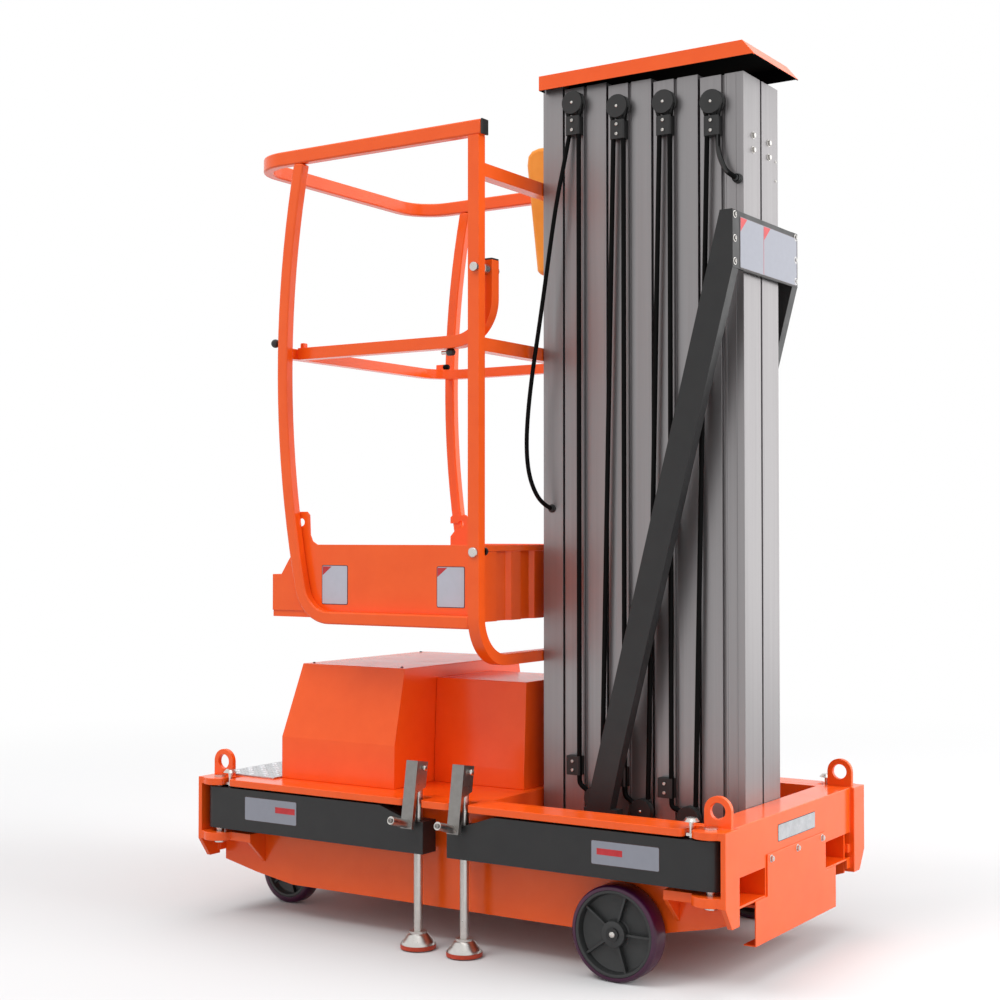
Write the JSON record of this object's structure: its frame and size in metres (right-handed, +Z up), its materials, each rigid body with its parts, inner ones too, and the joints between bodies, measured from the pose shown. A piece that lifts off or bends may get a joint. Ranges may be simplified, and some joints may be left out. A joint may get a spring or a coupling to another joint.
{
  "type": "single-mast aluminium work platform",
  "caption": "Push-around mast lift: stacked aluminium mast, railed basket with lift-up gate, steel base with swing-out outriggers, screw jacks, fixed wheels and swivel casters.",
  "frame": {"origin": "on the floor under the middle of the base", "axes": "+Z up, +X towards the end with the fork pockets, -Y towards the side with the lifting cables"},
  "size_m": [1.408, 0.915, 1.99],
  "materials": {
    "orange_paint": "satin powder coat",
    "dark_paint": "satin powder coat",
    "mast_aluminium": "satin anodised extrusion",
    "zinc_steel": "bright zinc plate",
    "black_rubber": "smooth",
    "black_plastic": "moulded",
    "hub_nylon": "moulded",
    "tread_urethane": "cast polyurethane",
    "step_aluminium": "checkered plate",
    "box_yellow": "moulded"
  },
  "bodies": {
    "chassis": {"side_frame_near": "orange_paint", "side_frame_far": "orange_paint", "skirt_near": "orange_paint", "skirt_far": "orange_paint", "end_channel": "orange_paint", "chassis_decks": "orange_paint", "belly_tray": "orange_paint", "step_plate": "step_aluminium", "battery_cover": "orange_paint", "drive_cover": "orange_paint", "power_pack": "dark_paint", "end_cover": "orange_paint", "corner_pins": "zinc_steel", "rear_axles": "zinc_steel", "mast_section_5": "mast_aluminium", "pulley_block_4": "black_plastic", "mast_braces": "dark_paint", "lift_cable_3": "black_rubber"},
    "mast_stage_4": {"mast_section_4": "mast_aluminium", "pulley_block_3": "black_plastic", "lift_cable_2": "black_rubber"},
    "mast_stage_3": {"mast_section_3": "mast_aluminium", "pulley_block_2": "black_plastic", "lift_cable_1": "black_rubber"},
    "mast_stage_2": {"mast_section_2": "mast_aluminium", "pulley_block_1": "black_plastic", "control_cord": "black_rubber"},
    "platform": {"mast_section_1": "mast_aluminium", "mast_cap": "orange_paint", "basket_carriage": "orange_paint", "basket_hoop": "orange_paint", "top_rail": "orange_paint", "front_bows": "orange_paint", "mid_rail": "orange_paint", "basket_floor": "orange_paint", "toe_boards": "orange_paint", "control_box": "box_yellow", "gate_bolt": "zinc_steel"},
    "gate": {"swing_gate": "orange_paint"},
    "rear_wheel_near": {"rear_hub_near": "hub_nylon", "rear_tread_near": "tread_urethane"},
    "caster_near": {"caster_fork_near": "zinc_steel"},
    "caster_wheel_near": {"caster_hub_near": "hub_nylon", "caster_tread_near": "tread_urethane"},
    "rear_wheel_far": {"rear_hub_far": "hub_nylon", "rear_tread_far": "tread_urethane"},
    "caster_far": {"caster_fork_far": "zinc_steel"},
    "caster_wheel_far": {"caster_hub_far": "hub_nylon", "caster_tread_far": "tread_urethane"},
    "outrigger_front_near": {"outrigger_front_near": "dark_paint"},
    "jack_front_near": {"jack_front_near": "zinc_steel"},
    "outrigger_front_far": {"outrigger_front_far": "dark_paint"},
    "jack_front_far": {"jack_front_far": "zinc_steel"},
    "outrigger_rear_near": {"outrigger_rear_near": "dark_paint"},
    "jack_rear_near": {"jack_rear_near": "zinc_steel"},
    "outrigger_rear_far": {"outrigger_rear_far": "dark_paint"},
    "jack_rear_far": {"jack_rear_far": "zinc_steel"}
  },
  "joints": [
    {"name": "mast_lift_4", "type": "slide", "parent": "chassis", "child": "mast_stage_4", "axis": [0, 0, 1], "range_m": [0, 1.32], "deforming": ["lift_cable_3"]},
    {"name": "mast_lift_3", "type": "slide", "parent": "mast_stage_4", "child": "mast_stage_3", "axis": [0, 0, 1], "range_m": [0, 1.32], "deforming": ["lift_cable_2"]},
    {"name": "mast_lift_2", "type": "slide", "parent": "mast_stage_3", "child": "mast_stage_2", "axis": [0, 0, 1], "range_m": [0, 1.32], "deforming": ["lift_cable_1"]},
    {"name": "mast_lift_1", "type": "slide", "parent": "mast_stage_2", "child": "platform", "axis": [0, 0, 1], "range_m": [0, 1.32], "deforming": ["control_cord"]},
    {"name": "gate_hinge", "type": "hinge", "parent": "platform", "child": "gate", "pos_m": [0.096, -0.3, 1.514], "axis": [0, 1, 0], "range_deg": [0, 85]},
    {"name": "rear_wheel_spin_near", "type": "hinge", "parent": "chassis", "child": "rear_wheel_near", "pos_m": [0.439, -0.336, 0.1], "axis": [0, 1, 0], "continuous": true},
    {"name": "caster_swivel_near", "type": "hinge", "parent": "chassis", "child": "caster_near", "pos_m": [-0.565, -0.147, 0.19], "axis": [0, 0, 1], "continuous": true},
    {"name": "caster_spin_near", "type": "hinge", "parent": "caster_near", "child": "caster_wheel_near", "pos_m": [-0.605, -0.147, 0.08], "axis": [0, 1, 0], "continuous": true},
    {"name": "rear_wheel_spin_far", "type": "hinge", "parent": "chassis", "child": "rear_wheel_far", "pos_m": [0.439, 0.336, 0.1], "axis": [0, 1, 0], "continuous": true},
    {"name": "caster_swivel_far", "type": "hinge", "parent": "chassis", "child": "caster_far", "pos_m": [-0.565, 0.147, 0.19], "axis": [0, 0, 1], "continuous": true},
    {"name": "caster_spin_far", "type": "hinge", "parent": "caster_far", "child": "caster_wheel_far", "pos_m": [-0.605, 0.147, 0.08], "axis": [0, 1, 0], "continuous": true},
    {"name": "outrigger_swing_front_near", "type": "hinge", "parent": "chassis", "child": "outrigger_front_near", "pos_m": [-0.659, -0.352, 0.265], "axis": [0, 0, -1], "range_deg": [0, 90]},
    {"name": "jack_screw_front_near", "type": "slide", "parent": "outrigger_front_near", "child": "jack_front_near", "axis": [0, 0, -1], "range_m": [-0.14, 0.05]},
    {"name": "outrigger_swing_front_far", "type": "hinge", "parent": "chassis", "child": "outrigger_front_far", "pos_m": [-0.659, 0.352, 0.265], "axis": [0, 0, 1], "range_deg": [0, 90]},
    {"name": "jack_screw_front_far", "type": "slide", "parent": "outrigger_front_far", "child": "jack_front_far", "axis": [0, 0, -1], "range_m": [-0.14, 0.05]},
    {"name": "outrigger_swing_rear_near", "type": "hinge", "parent": "chassis", "child": "outrigger_rear_near", "pos_m": [0.659, -0.352, 0.265], "axis": [0, 0, 1], "range_deg": [0, 90]},
    {"name": "jack_screw_rear_near", "type": "slide", "parent": "outrigger_rear_near", "child": "jack_rear_near", "axis": [0, 0, -1], "range_m": [-0.14, 0.05]},
    {"name": "outrigger_swing_rear_far", "type": "hinge", "parent": "chassis", "child": "outrigger_rear_far", "pos_m": [0.659, 0.352, 0.265], "axis": [0, 0, -1], "range_deg": [0, 90]},
    {"name": "jack_screw_rear_far", "type": "slide", "parent": "outrigger_rear_far", "child": "jack_rear_far", "axis": [0, 0, -1], "range_m": [-0.14, 0.05]}
  ],
  "couplings": [
    {"joint": "mast_lift_3", "follows": "mast_lift_4", "ratio": 1},
    {"joint": "mast_lift_2", "follows": "mast_lift_4", "ratio": 1},
    {"joint": "mast_lift_1", "follows": "mast_lift_4", "ratio": 1}
  ]
}
